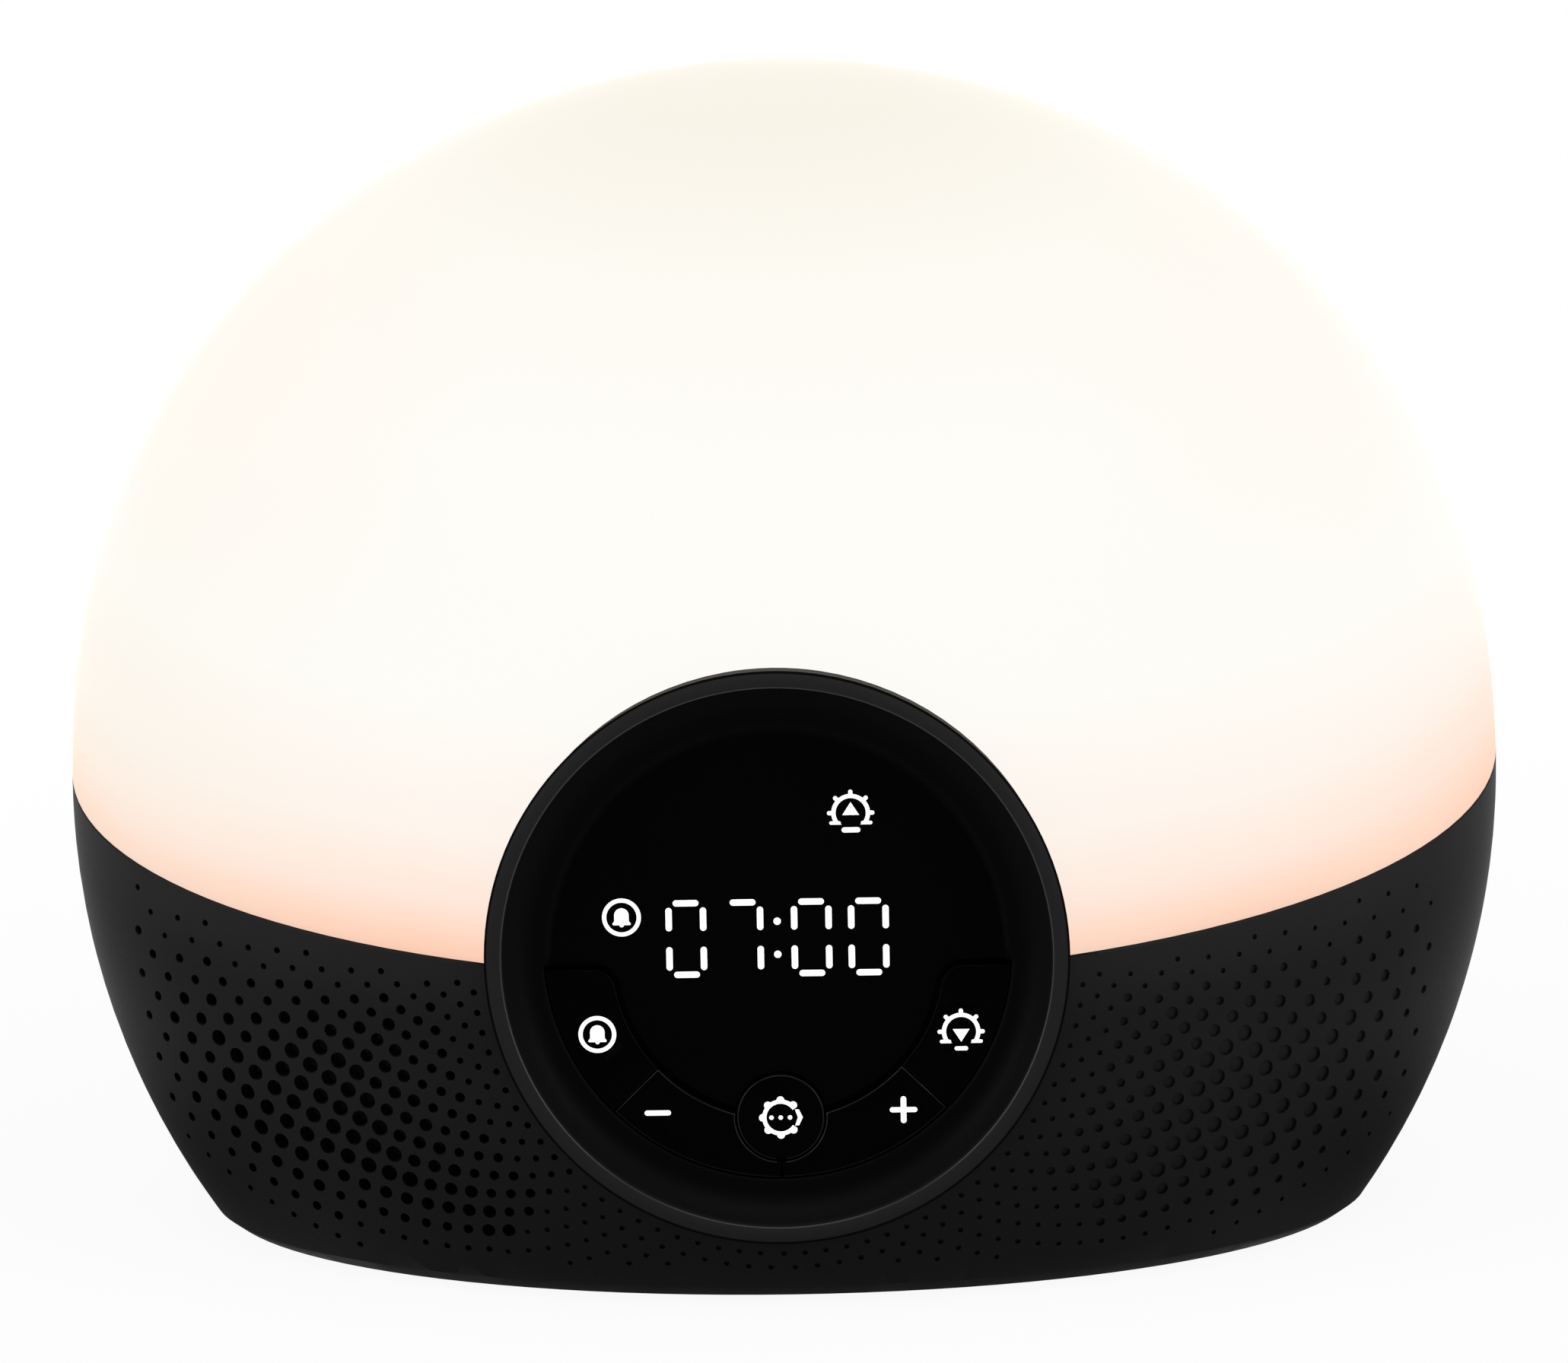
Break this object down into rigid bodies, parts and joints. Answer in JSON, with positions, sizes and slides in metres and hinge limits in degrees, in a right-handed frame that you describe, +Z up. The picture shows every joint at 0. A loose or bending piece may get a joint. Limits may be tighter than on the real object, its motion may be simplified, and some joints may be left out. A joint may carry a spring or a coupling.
{
  "type": "sunrise alarm clock",
  "caption": "Bedside sunrise alarm clock: a flattened opal dome lamp on a perforated speaker base, with a round clock face and touch keys.",
  "frame": {"origin": "on the floor, under the middle of the bounding box", "axes": "+Z up, -Y out of the clock face, +X to the right of a person who looks at the face"},
  "size_m": [0.21, 0.1264, 0.1672],
  "materials": {
    "opal_diffuser": "translucent opal, satin",
    "dark_shell": "fine moulded grain, matt",
    "gloss_black": "polished",
    "key_black": "satin gloss",
    "white_print": "glowing light guides",
    "grey_plastic": "moulded",
    "white_plastic": "moulded, matt",
    "brown_plastic": "moulded",
    "rubber_black": "matt",
    "board_green": "solder mask",
    "board_white": "white solder mask",
    "component_black": "moulded",
    "capacitor_blue": "sleeve",
    "led_yellow": "phosphor",
    "steel": "zinc plated",
    "aluminium": "extruded",
    "ferrite": "sintered",
    "paper": "pressed paper",
    "spider_cloth": "treated cloth",
    "copper": "enamelled wire",
    "lead_red": "sleeve",
    "ribbon_grey": "flat cable"
  },
  "bodies": {
    "housing": {"dome_diffuser": "opal_diffuser", "base_shell": "dark_shell", "bottom_cover": "dark_shell", "rubber_feet": "rubber_black", "cover_screws": "steel", "bezel_ring": "gloss_black", "display_window": "gloss_black", "key_carrier": "grey_plastic", "key_switches": "component_black", "control_board": "board_green", "control_board_screws": "steel", "display_module": "component_black", "lit_segments": "white_print", "icon_light_guides": "white_plastic", "icon_leds": "led_yellow", "reflector_tray": "white_plastic", "led_board": "board_white", "dome_leds": "led_yellow", "heat_sink": "aluminium", "main_board": "board_green", "main_board_screws": "steel", "controller_chip": "component_black", "capacitors": "capacitor_blue", "board_headers": "white_plastic", "inlet_board": "board_green", "dc_inlet": "component_black", "dc_pin": "steel", "speaker_gasket": "rubber_black", "speaker_basket": "steel", "speaker_magnet": "ferrite", "speaker_yoke": "steel", "speaker_terminals": "brown_plastic", "speaker_surround": "rubber_black", "speaker_spider": "spider_cloth", "speaker_leads": "lead_red", "led_leads": "lead_red", "ribbon_cable": "ribbon_grey", "indicator_icons": "white_print"},
    "alarm": {"alarm_key": "key_black", "alarm_plunger": "brown_plastic", "alarm_symbol": "white_print"},
    "minus": {"minus_key": "key_black", "minus_plunger": "brown_plastic", "minus_symbol": "white_print"},
    "menu": {"menu_key": "key_black", "menu_plunger": "brown_plastic", "menu_symbol": "white_print"},
    "plus": {"plus_key": "key_black", "plus_plunger": "brown_plastic", "plus_symbol": "white_print"},
    "sunset": {"sunset_key": "key_black", "sunset_plunger": "brown_plastic", "sunset_symbol": "white_print"},
    "speaker_motor": {"speaker_cone": "paper", "dust_cap": "paper", "voice_coil": "copper"}
  },
  "joints": [
    {"name": "alarm_press", "type": "slide", "parent": "housing", "child": "alarm", "axis": [0, 0.9994, -0.0349], "range_m": [0, 0.0005], "stiffness_N_per_m": 1600},
    {"name": "minus_press", "type": "slide", "parent": "housing", "child": "minus", "axis": [0, 0.9994, -0.0349], "range_m": [0, 0.0005], "stiffness_N_per_m": 1600},
    {"name": "menu_press", "type": "slide", "parent": "housing", "child": "menu", "axis": [0, 0.9994, -0.0349], "range_m": [0, 0.0005], "stiffness_N_per_m": 1600},
    {"name": "plus_press", "type": "slide", "parent": "housing", "child": "plus", "axis": [0, 0.9994, -0.0349], "range_m": [0, 0.0005], "stiffness_N_per_m": 1600},
    {"name": "sunset_press", "type": "slide", "parent": "housing", "child": "sunset", "axis": [0, 0.9994, -0.0349], "range_m": [0, 0.0005], "stiffness_N_per_m": 1600},
    {"name": "cone_travel", "type": "slide", "parent": "housing", "child": "speaker_motor", "axis": [-0.4384, -0.8988, 0], "range_m": [-0.0008, 0.0008], "stiffness_N_per_m": 1200}
  ]
}
